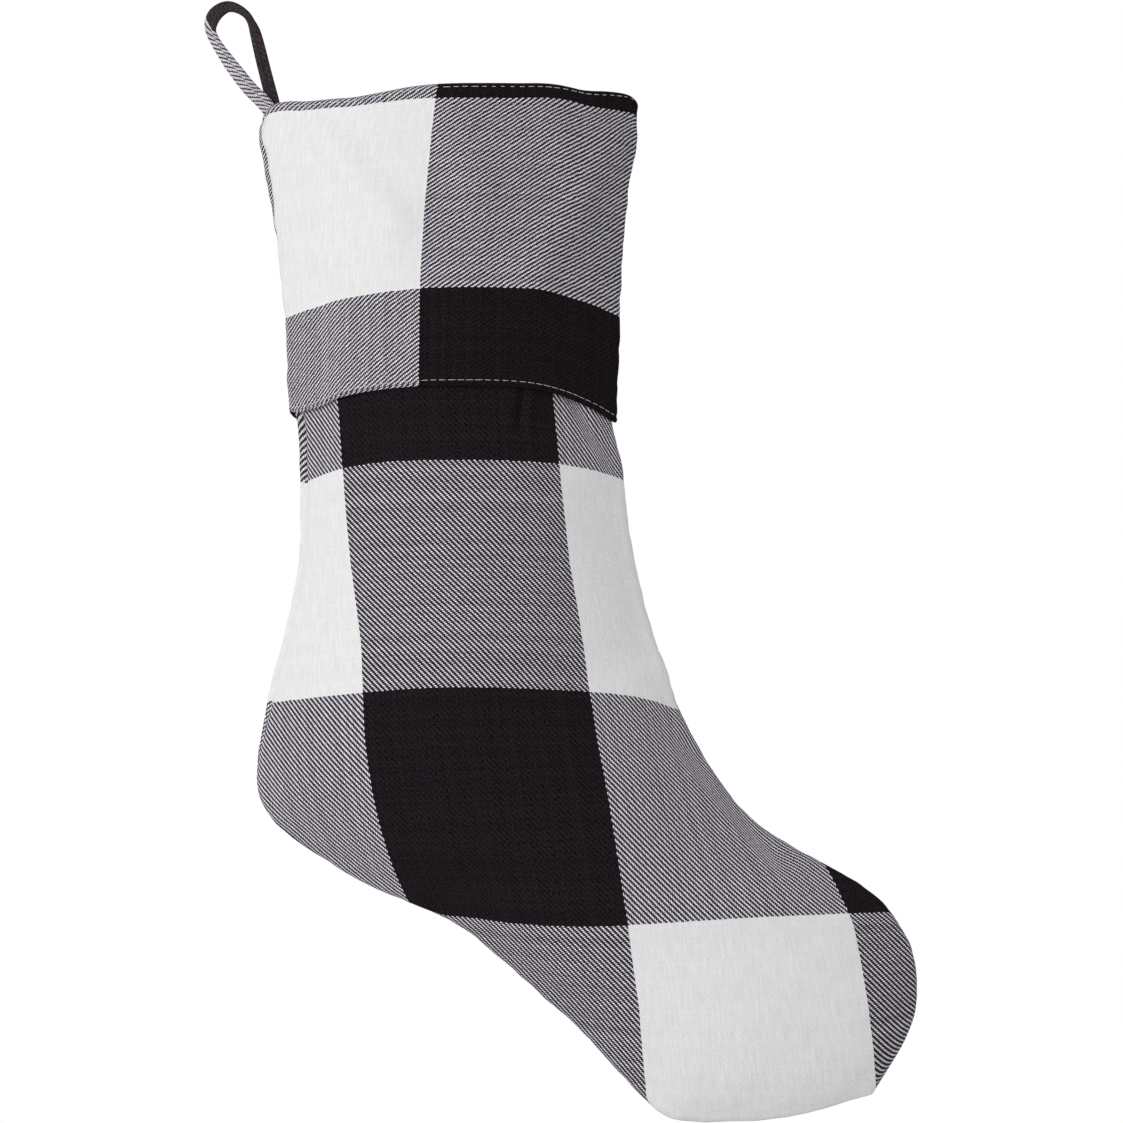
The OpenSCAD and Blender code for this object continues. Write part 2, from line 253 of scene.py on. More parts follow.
def crease(points, start, end, width, height):
    """A soft ridge, or a valley if height is negative, from one point of the X Z plane to another."""
    p = points[..., [0, 2]]
    a, b = np.array(start), np.array(end)
    t = np.clip(((p - a) @ (b - a)) / ((b - a) @ (b - a)), 0, 1)
    far = np.linalg.norm(p - (a + t[..., None] * (b - a)), axis=-1)
    return height * np.exp(-(far / width) ** 2)


PACK_FADE = 20.0


def packed(points, start, end, width, amount):
    """Shift of a weave that is drawn together, by amount, in a band along a line of the X Z plane."""
    p = points[..., [0, 2]]
    a, b = np.array(start), np.array(end)
    length = np.linalg.norm(b - a)
    way = (b - a) / length
    past, along = (p - a) @ np.array([-way[1], way[0]]), (p - a) @ way
    ends = smooth(1 + along / PACK_FADE) * smooth(1 + (length - along) / PACK_FADE)
    return amount * smooth(0.5 + past / (2 * width)) * ends


# The groove of a seam and the slight ridge of its allowance: height, distance, width
SEAM_WAVES = [(-1.0, 0.0, 1.6), (0.35, 5.0, 3.0)]


def seam_fall(s):
    """Height of the cloth at distance s from a seam."""
    return sum(height * np.exp(-((s - at) / width) ** 2) for height, at, width in SEAM_WAVES)


# Side seams: angle at the top, then turns as start, length and angle, by distance or by share of the cuff
HEEL_SEAM = (14.0, [(155, 60, -4.0), (256, 26, -7.0)])
TOE_SEAM = (185.0, [(330, 120, -5.0)])
CUFF_HEEL_SEAM = (6.5, [(0.02, 0.12, 4.0), (0.2, 0.36, -13.5)])
CUFF_TOE_SEAM = (185.0, [])


def seam_angle(seam, at):
    """Angle of a side seam at places along it."""
    first, turns = seam
    return first + sum(angle * smooth((at - start) / length) for start, length, angle in turns) + 0 * at


# The photograph: its side and the loop's eye in pixels, millimetres to a pixel, distances of camera and face
PHOTO_SIDE = 1123
PHOTO_MID = PHOTO_SIDE / 2
EYE_PIXEL = (230, 24)
PX = 0.4625
CAMERA_FAR = 1600.0
FACE_DEPTH = 36.0
MIDDLE = np.array([(PHOTO_MID - EYE_PIXEL[0]) * PX, -(PHOTO_MID - EYE_PIXEL[1]) * PX])


def photo(x, y, depth=FACE_DEPTH):
    """X and Z of a photograph pixel, on a face that is depth in front of the middle plane."""
    near = (CAMERA_FAR - depth) / CAMERA_FAR * PX
    return MIDDLE[0] + (x - PHOTO_MID) * near, MIDDLE[1] - (y - PHOTO_MID) * near


# Checks of the sock's flat cloth. Warp line: height, place, width of the heel-side and the toe-side check.
# Weft lines: height, number, fall at the heel side and at the toe side, power of the fall, tilt
CHECK = 106.0
WARP_LINE = np.array([
    (-502, 189, 109, 111), (-454, 188.3, 109, 106), (-413, 183.6, 108.6, 105.2), (-366, 176.4, 108.6, 98),
    (-329, 170.7, 107.2, 100), (-288, 166.5, 105.8, 104), (-248, 159.7, 106.2, 105), (-204, 154.9, 106, 105),
    (-173, 152, 104.9, 105), (-80, 143, 104, 105)])
WEFT_LINES = np.array([
    (-519, 3, 0, 0, 2, 6.2), (-412.6, 2, 0, 0, 2, 6.2), (-350, 1.418, 4, 0.5, 1.8, 5),
    (-305, 1, 11.4, 4.6, 1.6, 0), (-203, 0, 10.5, 9, 3, 0), (-97, -1, 10.5, 9, 3, 0)])
# How much closer the warp lies past the first heel-side check, from which height and over how much
GATHER = 0.25
GATHER_FROM = -300.0
GATHER_OVER = 80.0
# Whole checks added to the places, which set black and white
CHECKS_ADDED = 2


def check_places(flat, share):
    """Warp and weft places of the sock's cloth, with checks along the lines seen."""
    z = flat[..., 1]
    line, heel_wide, toe_wide = (np.interp(z, WARP_LINE[:, 0], WARP_LINE[:, k]) for k in (1, 2, 3))
    u = flat[..., 0] - line
    u = u * CHECK / np.where(u < 0, heel_wide, toe_wide)
    u = u + GATHER * smooth((z - GATHER_FROM) / GATHER_OVER) * np.minimum(u + CHECK, 0)
    heel_fall, toe_fall, power, tilt = (
        np.interp(z, WEFT_LINES[:, 0], WEFT_LINES[:, k]) for k in (2, 3, 4, 5))
    level = z + np.where(share < 0, heel_fall, toe_fall) * np.abs(share) ** power - tilt * share
    v = CHECK * np.interp(level, WEFT_LINES[:, 0], WEFT_LINES[:, 1])
    return np.stack([u + CHECKS_ADDED * CHECK, v + CHECKS_ADDED * CHECK, 0 * v], -1)


# Free edge of the flat maps
MAP_EDGE = 0.01


def placed(name, mesh, material):
    """An object in the scene from a mesh, with smooth faces and one material."""
    mesh.polygons.foreach_set("use_smooth", np.ones(len(mesh.polygons), bool))
    mesh.materials.append(material)
    mesh.update()
    made = bpy.data.objects.new(name, mesh)
    bpy.context.scene.collection.objects.link(made)
    return made


def grid_object(name, points, weave, flat, material, flip=False):
    """A piece from a grid of points in millimetres, with a flat map for baking. A weave place is warp, weft
    and a shift of the weft's colours."""
    rows, cols = points.shape[:2]
    ids = np.arange(rows * cols).reshape(rows, cols)
    quads = np.stack([ids[:-1, :-1], ids[:-1, 1:], ids[1:, 1:], ids[1:, :-1]], -1).reshape(-1, 4)
    if flip:
        quads = quads[:, ::-1]
    mesh = bpy.data.meshes.new(name)
    mesh.from_pydata((points.reshape(-1, 3) * MM).tolist(), [], quads.tolist())
    places = weave.reshape(-1).astype(np.float32)
    mesh.attributes.new("weave", "FLOAT_VECTOR", "POINT").data.foreach_set("vector", places)
    if flat is not None:
        spots = flat.reshape(-1, 2)
        spots = MAP_EDGE + (1 - 2 * MAP_EDGE) * (spots - spots.min(0)) / np.ptp(spots, axis=0).max()
        corners = spots[quads.ravel()].astype(np.float32)
        mesh.uv_layers.new(name="OFBake").data.foreach_set("uv", corners.ravel())
    return placed(name, mesh, material)


# Materials
def node_maths(tree):
    """A short maker for the maths nodes of one material."""
    def maths(kind, *values):
        n = tree.nodes.new("ShaderNodeMath")
        n.operation = kind
        for socket, value in zip(n.inputs, values):
            if isinstance(value, (int, float)):
                socket.default_value = value
            else:
                tree.links.new(value, socket)
        return n.outputs[0]
    return maths


def rest(m, value):
    """What is left of 1."""
    return m("SUBTRACT", 1.0, value)


def centred(m, value):
    """A value from 0 to 1, moved to lie round 0."""
    return m("SUBTRACT", value, 0.5)


def soft_step(m, low, high, value):
    """0 below low, 1 above high, smooth between."""
    t = m("MINIMUM", m("MAXIMUM", m("DIVIDE", m("SUBTRACT", value, low), high - low), 0.0), 1.0)
    return m("MULTIPLY", m("MULTIPLY", t, t), m("SUBTRACT", 3.0, m("MULTIPLY", t, 2.0)))


def weighed(m, base, weights, values):
    """A base and the values that the weights name, each by its weight."""
    total = base
    for key, weight in weights.items():
        total = m("MULTIPLY_ADD", values[key], weight, total)
    return total


def mixed(tree, share, a, b):
    """Colour between a and b; each is a colour or a socket."""
    n = tree.nodes.new("ShaderNodeMix")
    n.data_type = "RGBA"
    for socket, value in ((n.inputs[0], share), (n.inputs[6], a), (n.inputs[7], b)):
        if isinstance(value, bpy.types.NodeSocket):
            tree.links.new(value, socket)
        else:
            socket.default_value = value
    return n.outputs[2]


SPECULAR = 0.012
SHEEN_ROUGHNESS = 0.6


def cloth_shader(name, roughness, sheen):
    """A new material with its tree, its main shader and its maths maker."""
    material = bpy.data.materials.new(name)
    material.use_nodes = True
    tree = material.node_tree
    main = tree.nodes["Principled BSDF"]
    main.inputs["Roughness"].default_value = roughness
    main.inputs["Specular IOR Level"].default_value = SPECULAR
    main.inputs["Sheen Weight"].default_value = sheen
    main.inputs["Sheen Roughness"].default_value = SHEEN_ROUGHNESS
    return material, tree, main, node_maths(tree)


def weave_source(tree):
    """The node of the cloth's flat places, and those places one by one."""
    source = tree.nodes.new("ShaderNodeAttribute")
    source.attribute_name = "weave"
    parts = tree.nodes.new("ShaderNodeSeparateXYZ")
    tree.links.new(source.outputs["Vector"], parts.inputs[0])
    return source, parts.outputs


def relief(tree, main, height, strength, distance):
    """Gives the main shader a relief of a height."""
    bump = tree.nodes.new("ShaderNodeBump")
    bump.inputs["Strength"].default_value = strength
    bump.inputs["Distance"].default_value = distance
    tree.links.new(height, bump.inputs["Height"])
    tree.links.new(bump.outputs[0], main.inputs["Normal"])


def noise(tree, source, scale, detail, stretch=(1, 1)):
    """Noise from 0 to 1 on the places of the cloth; stretch draws it out along warp and weft."""
    n = tree.nodes.new("ShaderNodeTexNoise")
    n.inputs["Scale"].default_value = scale
    n.inputs["Detail"].default_value = detail
    drawn = tree.nodes.new("ShaderNodeVectorMath")
    drawn.operation = "DIVIDE"
    drawn.inputs[1].default_value = (stretch[1], stretch[0], 1)
    tree.links.new(source.outputs["Vector"], drawn.inputs[0])
    tree.links.new(drawn.outputs[0], n.inputs["Vector"])
    return n.outputs["Fac"]


def yarn_tone(tree, index):
    """A tone from 0 to 1 for each yarn."""
    n = tree.nodes.new("ShaderNodeTexWhiteNoise")
    n.noise_dimensions = "1D"
    tree.links.new(index, n.inputs["W"])
    return n.outputs["Value"]


# Colours of the yarns: white, white where it crosses black, and three blacks; the loop's black is lighter,
# which is painted sheen and light on the loop's strip
WHITE = (0.86, 0.86, 0.855, 1)
WHITE_ON_BLACK = (0.90, 0.85, 0.935, 1)
BLACK = (0.0120, 0.0090, 0.0106, 1)
SOCK_BLACK = (0.0136, 0.0104, 0.0124, 1)
LOOP_BLACK_AND_SHEEN = (0.037, 0.030, 0.034, 1)
# Noises of the flannel: scale, detail and stretch; two of them move the yarns
SWAY = (0.3, 2)
STRAY = (1.5, 2)
SWAY_YARNS = 1.1
STRAY_YARNS = 0.6
HAIRS = (2.6, 3)
NAP = (0.22, 4)
STREAKS = (0.9, 3, (9, 1))
GRAIN = (1.0, 4)
# Yarns in a repeat of the twill, and how sharply a float drops at its ends
REPEAT = 4.0
FLOAT_END = 4.0
# Height, tone of the white and tone of the black: a base, and what adds to it. The dome and rib terms of the
# tones are painted shade: each float lighter on its crown and darker at its edges and ends, and faint darker
# twill lines in the white
HEIGHT = (-0.4, {"dome": 1.0, "hairs": 0.8, "uneven": 0.16})
PALE = (0.83, {"dome": 0.09, "nap": 0.05, "uneven": 0.045, "hairs": 0.12, "streaks": 0.24, "grain": 0.05,
               "rib_shade": 0.025})
DEEP = (0.45, {"warp_up": -0.4, "dome": 0.9, "hairs": 0.55, "uneven": 0.5, "grain": 2.6})
DEEP_LEAST = 0.12
# Heights where a white float over black yarns starts to show and shows in full
WARP_BARE = (0.04, 0.60)
WEFT_BARE = (0.14, 0.84)
CUFF_WEFT_BARE = (0.11, 0.66)
# White lint on the black floats over white yarns, and the relief of the hairs
LINT = 0.038
HAIR_RELIEF = 0.8


def yarn_places(tree, m, pitch, check):
    """The node of the places, then for warp and weft the yarn, the place across it and its blackness."""
    source, places = weave_source(tree)
    sway = m("MULTIPLY", centred(m, noise(tree, source, *SWAY)), SWAY_YARNS)
    stray = m("ADD", sway, m("MULTIPLY", centred(m, noise(tree, source, *STRAY)), STRAY_YARNS))
    yarns, across, black = [], [], []
    for k, shift in ((0, 0.0), (1, places[2])):
        scaled = m("ADD", m("DIVIDE", places[k], pitch[k]), stray)
        index = m("FLOOR", scaled)
        yarns.append(index)
        across.append(m("FRACT", scaled))
        place = m("ADD", m("MULTIPLY", m("ADD", index, 0.5), pitch[k]), shift)
        black.append(m("FLOORED_MODULO", m("FLOOR", m("DIVIDE", place, check[k])), 2.0))
    return source, yarns, across, black


def float_domes(m, turn, across, lean, over):
    """Heights of a warp float and of a weft float, round across and lower at the ends."""
    first = turn if lean > 0 else m("SUBTRACT", over - 1.0, turn)
    second = m("SUBTRACT", turn, float(over))
    domes = []
    for wide, passed, along, length in ((across[0], first, across[1], float(over)),
                                        (across[1], second, across[0], REPEAT - over)):
        bow = m("MULTIPLY_ADD", wide, 2.0, -1.0)
        long = m("DIVIDE", m("ADD", passed, along), length)
        end = m("POWER", m("ABSOLUTE", m("MULTIPLY_ADD", long, 2.0, -1.0)), FLOAT_END)
        domes.append(m("MULTIPLY", rest(m, m("MULTIPLY", bow, bow)), rest(m, end)))
    return domes


def flannel(name, pitch, check, lean, over=2, black_and_sheen=BLACK, weft_bare=WEFT_BARE):
    """Brushed twill of black and white yarns: pitch and check are (warp, weft) sizes, lean is the way of
    its lines, and over the length of a warp float."""
    material, tree, main, m = cloth_shader(name, 0.95, 0.006)
    source, yarns, across, black = yarn_places(tree, m, pitch, check)
    turn = m("FLOORED_MODULO", m("ADD", yarns[0], m("MULTIPLY", yarns[1], float(lean))), REPEAT)
    warp_up = m("LESS_THAN", turn, over - 0.5)

    def top(warp, weft):
        """The warp's value where the warp is on top, and the weft's elsewhere."""
        return m("ADD", m("MULTIPLY", warp_up, warp), m("MULTIPLY", rest(m, warp_up), weft))

    dark, under_dark = top(*black), top(*black[::-1])
    values = {
        # The dome and rib terms also paint shade into the pale and deep tones below
        "warp_up": warp_up,
        "dome": top(*float_domes(m, turn, across, lean, over)),
        "uneven": centred(m, top(*(yarn_tone(tree, index) for index in yarns))),
        "hairs": noise(tree, source, *HAIRS),
        "nap": noise(tree, source, *NAP),
        "streaks": centred(m, noise(tree, source, *STREAKS)),
        "grain": centred(m, noise(tree, source, *GRAIN)),
        "rib_shade": m("MULTIPLY", centred(m, warp_up), rest(m, under_dark))}
    height = weighed(m, *HEIGHT, values)
    bare = top(soft_step(m, *WARP_BARE, height), soft_step(m, *weft_bare, height))
    shown = rest(m, m("MULTIPLY", under_dark, rest(m, bare)))
    lint = m("MULTIPLY", m("MULTIPLY", dark, rest(m, under_dark)), m("MULTIPLY", values["hairs"], LINT))
    white = m("ADD", m("MULTIPLY", rest(m, dark), shown), lint)
    pale = weighed(m, *PALE, values)
    deep = m("MAXIMUM", weighed(m, *DEEP, values), DEEP_LEAST)
    level = m("ADD", m("MULTIPLY", white, pale), m("MULTIPLY", rest(m, white), deep))
    pure = mixed(tree, under_dark, WHITE, WHITE_ON_BLACK)
    shade = tree.nodes.new("ShaderNodeVectorMath")
    shade.operation = "SCALE"
    tree.links.new(mixed(tree, white, black_and_sheen, pure), shade.inputs[0])
    tree.links.new(level, shade.inputs["Scale"])
    tree.links.new(shade.outputs[0], main.inputs["Base Color"])
    relief(tree, main, m("MULTIPLY_ADD", values["hairs"], HAIR_RELIEF, values["dome"]), 0.4, 0.0002)
    return material


def plain_cotton(name, colour, step):
    """Plain-woven cotton with a fine over-and-under texture."""
    material, tree, main, m = cloth_shader(name, 0.9, 0.05)
    places = weave_source(tree)[1]
    waves = [m("SINE", m("MULTIPLY", place, 2 * np.pi / step)) for place in places[:2]]
    main.inputs["Base Color"].default_value = colour
    relief(tree, main, m("MULTIPLY", *waves), 0.2, 0.0001)
    return material


# The twist's hollows get painted shade: the thread's colour scaled down there
THREAD_TWIST = 900
THREAD_HOLLOW_SHADE = 0.82


def thread(name, colour):
    """Sewing thread with a fine twist, with painted shade in the hollows of the twist."""
    material, tree, main = cloth_shader(name, 0.7, 0.05)[:3]
    twist = tree.nodes.new("ShaderNodeTexWave")
    twist.inputs["Scale"].default_value = THREAD_TWIST
    place = tree.nodes.new("ShaderNodeTexCoord")
    tree.links.new(place.outputs["Object"], twist.inputs["Vector"])
    hollow_shade = tuple(THREAD_HOLLOW_SHADE * c for c in colour[:3]) + (1,)
    tree.links.new(mixed(tree, twist.outputs["Fac"], hollow_shade, colour), main.inputs["Base Color"])
    return material


# Pitch of the yarns in each cloth, warp and weft
SOCK_PITCH = (0.632, 0.735)
CUFF_PITCH = (0.74, 0.50)
LOOP_PITCH = (0.58, 0.64)
LINING_STEP = 0.8
CUFF_CHECK = (106.0, 87.5)
SOCK_CLOTH = flannel("sock flannel", SOCK_PITCH, (CHECK, CHECK), -1, black_and_sheen=SOCK_BLACK)
CUFF_CLOTH = flannel("cuff flannel", CUFF_PITCH, CUFF_CHECK, 1, weft_bare=CUFF_WEFT_BARE)
# The loop's lighter black paints the sheen and light on its strip
LOOP_CLOTH = flannel("loop flannel", LOOP_PITCH, (CHECK, CHECK), -1, 1, LOOP_BLACK_AND_SHEEN)
LINING = plain_cotton("lining cotton", (0.72, 0.70, 0.66, 1), LINING_STEP)
THREAD = thread("white thread", (0.78, 0.78, 0.77, 1))


# The rim and the hem by the angle round the mouth
RIM_LINE = np.array([
    (-10, 5), (0, 4), (10, 2.2), (20, 0.8), (30, 0.85), (39, 1.9), (52, 2.2), (60, 2.4), (70, 1.1),
    (79, -0.4), (88, -0.95), (112, -0.55), (120, -0.6), (126, -0.1), (131, 0.85), (136, 1.9), (142, 2.1),
    (148, 1.95), (156, 2.1), (163, 2.5), (168, 3.2), (174, 4.4), (184, 5.8), (200, 4), (230, 1.5), (270, 0),
    (310, 1.2), (335, 2), (350, 5), (360, 4), (370, 2.2)])
HEM_LINE = np.array([
    (-10, 141), (-3, 140.4), (4, 140.6), (19, 142), (33, 141), (40, 139.4), (47, 136.9), (61, 134.7),
    (79, 133.7), (94, 134.2), (108, 135), (120, 136.7), (132, 140.2), (144, 144.6), (161, 150.6), (172, 152),
    (185, 151.4), (200, 149), (230, 141), (270, 135), (310, 140), (332, 145), (343, 144.8), (350, 142.8),
    (357, 140.4), (370, 141)])


def rim_e(a):
    """Dip of the rim below its reference height."""
    return curve(RIM_LINE, a)[..., 0]


def hem_e(a):
    """Distance of the hem below that height."""
    return curve(HEM_LINE, a)[..., 0]


# The sock: front and back panels that meet in the side seams. Its rows lie closer towards the toe
FOOT_LAP = 20.0
TOE_CROWD = 1.35
UNDER_ROWS = np.linspace(3, 122, 16)
LEG_ROWS = np.linspace(125, BEND_END - FOOT_LAP, 92)
FOOT_ROWS = SPINE_LEN - (FOOT_LEN + FOOT_LAP) * (1 - np.linspace(0, 1, 96)[1:]) ** TOE_CROWD
SOCK_ROWS = np.concatenate([UNDER_ROWS, LEG_ROWS, FOOT_ROWS])
PANEL_COLUMNS = {"front": 141, "back": 81}
# Dents are less near a seam and in the thin toe
SEAM_CALM = 14.0
THIN_DEPTH = 12.0
SOCK_DENTS = [(0.8, 46, 5, 1), (0.35, 19, 0, 2)]
SOCK_PUCKERS = (0.2, 11.0, (3, 5))
# The heel-side seam lies deeper in the leg
DEEPER = 0.9
DEEPER_WIDE = 1.4
DEEPER_FROM = (120, 18)
DEEPER_TO = (300, 80)


def sock_grid(side, inset, columns, rows):
    """Distances and angles of the grid of one half of the sock, with its cloth."""
    t = np.linspace(0, 1, columns)[None, :]
    e = rows[:, None] + 0 * t
    a = half_angles(side, seam_angle(HEEL_SEAM, e), seam_angle(TOE_SEAM, e), t)
    e = e + rim_e(a) * np.maximum(1 - e / CUFF_H, 0)
    return e, a, cloth(e, a, inset)


# Creases of the front, and bands where its weave is drawn in: start, end, width, and height or amount
CREASES = [
    (photo(524.5, 380), photo(518.5, 427), 1.7, -2.6),
    (photo(531, 380), photo(524, 432), 2.6, 1.3),
    (photo(512, 380), photo(508, 425), 4.0, 0.5),
    (photo(570, 392), photo(590, 432), 2.6, -0.8),
    (photo(582, 392), photo(602, 430), 2.6, 0.7),
    (photo(434, 905, 10), photo(474, 868, 22), 4.5, -1.1),
    (photo(420, 892, 8), photo(452, 862, 20), 4.0, 0.7),
    (photo(300, 830, 12), photo(350, 800, 24), 9.0, -0.8),
    (photo(665, 705, 12), photo(600, 760, 34), 12.0, -0.9),
    (photo(870, 1075, 6), photo(820, 1040, 16), 6.0, -0.7),
    (photo(700, 1108, 5), photo(720, 1060, 16), 7.0, -0.6),
]
PACKED = [
    (photo(571, 398), photo(606, 464), 3.0, 5.0),
    (photo(694, 766, 20), photo(764, 853, 20), 4.2, 6.5),
]


def sock_panel(name, side):
    """One half of the sock, with seam grooves, puckers, soft dents and creases."""
    e, a, (points, out, *middle) = sock_grid(side, 0.0, PANEL_COLUMNS[side], SOCK_ROWS)
    arc = arc_from_middle(points, a, side)
    flat = unrolled(arc, *middle)
    down = steps(points, 0)
    heel, toe = seam_distances(points, side)
    beside = np.minimum(heel, toe)
    fall = seam_fall(np.minimum(beside, down[-1:, :] - down))
    in_leg = smooth((e - DEEPER_FROM[0]) / DEEPER_FROM[1]) * smooth((DEEPER_TO[0] - e) / DEEPER_TO[1])
    fall = fall - DEEPER * np.exp(-(heel / DEEPER_WIDE) ** 2) * in_leg
    gather = puckers(down, heel, toe, *SOCK_PUCKERS)
    lift = fall + gather + dents(points, SOCK_DENTS) * smooth(beside / SEAM_CALM)
    if side == "front":
        lift = lift + sum(crease(points, *line) for line in CREASES)
    points = points + out * (lift * smooth(section(e)[2] / THIN_DEPTH))[..., None]
    weave = check_places(flat, seam_share(arc))
    if side == "front":
        weave[..., 0] += sum(packed(points, *band) for band in PACKED)
    return grid_object(name, points, weave, flat * [WAY[side], 1], SOCK_CLOTH), points, out


front_panel, front_points, front_out = sock_panel("front_panel_cloth", "front")
back_panel = sock_panel("back_panel_cloth", "back")[0]

# The lining, which sags below the rim that holds it
LINING_IN = 2.1
LINING_COLUMNS = 45
LINING_ROWS = np.concatenate([np.linspace(3, BEND_END, 46), np.linspace(BEND_END + 8, SPINE_LEN - 3, 26)])
LINING_DENTS = [(0.35, 24, 0, 8)]
LINING_SAG = 1.0
LINING_HELD = 18.0
LINING_FREE = 40.0


def lining(name, side):
    """One half of the lining, a plain skin inside the sock."""
    e, a, (points, out, *middle) = sock_grid(side, LINING_IN, LINING_COLUMNS, LINING_ROWS)
    flat = unrolled(arc_from_middle(points, a, side), *middle)
    lift = (dents(points, LINING_DENTS) - LINING_SAG) * smooth((e - LINING_HELD) / LINING_FREE)
    points = points + out * (lift * smooth(section(e)[2] / THIN_DEPTH))[..., None]
    weave = np.concatenate([flat, flat[..., :1] * 0], -1)
    return grid_object(name, points, weave, flat * [WAY[side], 1], LINING, flip=True), points


lining_front, lining_points = lining("lining_front_cloth", "front")
lining_back = lining("lining_back_cloth", "back")[0]

# The cuff: turned into the mouth, folded over the rim, down to the hem and a short way up inside
CUFF_OUT = 3.1
CUFF_FLARE = 0.6
CUFF_COLUMNS = 111
TURN_IN_ROWS = (12.0, 9.0, 5.0)
TURN_IN_D = 3.5
FOLD_R = 3.3
FOLD_E = 1.5
FOLD_D = 0.2
FOLD_STEP = 15
FOLD_START = len(TURN_IN_ROWS)
FOLD_END = FOLD_START + 180 // FOLD_STEP
OUTSIDE_SHARES = np.concatenate([
    np.linspace(0.012, 0.04, 5), np.linspace(0.05, 0.955, 58), np.linspace(0.963, 0.992, 6)])
HEM_START = FOLD_END + len(OUTSIDE_SHARES) + 1
HEM_R = 1.15
HEM_STEPS = 9
HEM_INSIDE_ROWS = (3.0, 6.0, 10.0, 14.0)


def cuff_path():
    """Rows of the cuff as (share from rim to hem, distance past that share, d inwards)."""
    rows = [(0.0, e, TURN_IN_D) for e in TURN_IN_ROWS]
    for turn in np.radians(np.arange(0, 181, FOLD_STEP)):
        rows.append((0.0, FOLD_E - FOLD_R * np.sin(turn), FOLD_D + FOLD_R * np.cos(turn)))
    rows += [(v, 0.0, -CUFF_OUT - CUFF_FLARE * v) for v in OUTSIDE_SHARES]
    hem_d = -CUFF_OUT - CUFF_FLARE
    for turn in np.radians(np.linspace(0, 180, HEM_STEPS)):
        rows.append((1.0, HEM_R * (np.sin(turn) - 1), hem_d + HEM_R * (1 - np.cos(turn))))
    rows += [(1.0, -e, hem_d + 2 * HEM_R) for e in HEM_INSIDE_ROWS]
    return np.array(rows)


CUFF_PATH = cuff_path()
HEM_TUCK = 1.5
TUCK_FROM = 0.88
TUCK_ANGLE = 183.0
TUCK_WIDE = 24.0


def hem_tuck(a, v):
    """How far the hem lies in against the sock at the toe-side seam."""
    low = smooth((v - TUCK_FROM) / (1 - TUCK_FROM))
    return HEM_TUCK * low * np.exp(-((a - TUCK_ANGLE) / TUCK_WIDE) ** 2)


# Checks of the cuff: warp line by distance below the rim, rim band by angle, low band by share of the height
CUFF_WARP = np.array([(0, 97.3), (20, 94.9), (51, 91.9), (78, 90.1), (92, 89.5), (135, 88.9)])
RIM_BAND = np.array([
    (-10, 2.6), (50, 2.6), (65, 3.0), (87, 5.0), (106, 5.4), (134, 5.3), (145, 6.4), (160, 7.1), (174, 6.8),
    (200, 6.0), (320, 2.6), (380, 2.6)])
LOW_BAND = 0.672
LOW_DROP = 3.0
DROP_ANGLE = 40.0
ROLL_PACK = 1.1
WARP_CHECK = {"front": 1, "back": 2}
# The back's warp is drawn in beside the heel-side seam
SEAM_WIDE = 3.0
SEAM_PACK = 2.2


def cuff_checks(flat, a, v, down, side, heel):
    """Warp and weft places of the cuff's cloth; heel is the distance from the heel-side seam."""
    length = hem_e(a) - rim_e(a)
    line = np.interp(np.clip(v, 0, 1) * length, CUFF_WARP[:, 0], CUFF_WARP[:, 1])
    u = flat[..., 0] - line + CUFF_CHECK[0] * WARP_CHECK[side]
    if side == "back":
        u = u + SEAM_PACK * np.maximum(SEAM_WIDE - heel, 0)
    along = np.where(v <= 0, down - down[FOLD_END], v * length)
    along = np.where(v >= 1, length + down - down[HEM_START], along)
    band = curve(RIM_BAND, a)[..., 0]
    low = LOW_BAND * length + LOW_DROP * smooth((DROP_ANGLE - a) / DROP_ANGLE)
    below = (along - band) / (low - band)
    below = np.where(below < 0, ROLL_PACK * below, below)
    return np.stack([u, CUFF_CHECK[1] * (CHECKS_ADDED + below), 0 * u], -1)


# Relief of the cuff, which is less at the rim
CUFF_SEAM_FALL = 0.8
CUFF_PUCKERS = (0.35, 10.0, (11, 13))
CUFF_DENTS = [(0.9, 52, 9, 21), (0.45, 21, 0, 22)]
HEM_DENTS = [(0.5, 30, 3, 23)]
HEM_DENTS_HIGH = 40.0
HEM_STITCH = 2.8
STITCH_DENT = 0.3
STITCH_DENT_WIDE = 0.9
RIM_RELIEF = 0.4
RELIEF_OVER = 0.15
# Soft folds of the cuff's front: start, end, width, height
CUFF_FOLDS = [
    (photo(299, 112), photo(304, 130), 3.0, -0.9),
    (photo(306, 152), photo(380, 246), 15.0, 1.6),
    (photo(319, 130), photo(396, 222), 7.5, 3.2),
    (photo(325, 254), photo(392, 304), 8.0, 2.2),
    (photo(290, 126), photo(303, 300), 2.0, -0.4),
    (photo(452, 98), photo(478, 190), 9.0, 2.4),
    (photo(608, 145), photo(535, 280), 10.0, 3.0),
    (photo(545, 95), photo(570, 150), 8.0, 1.8),
]


def cuff_place(side, v, t):
    """Angles and distances of one half of the cuff at shares v of its height."""
    a = half_angles(side, seam_angle(CUFF_HEEL_SEAM, v), seam_angle(CUFF_TOE_SEAM, v), t)
    return a, rim_e(a) * (1 - v) + hem_e(a) * v


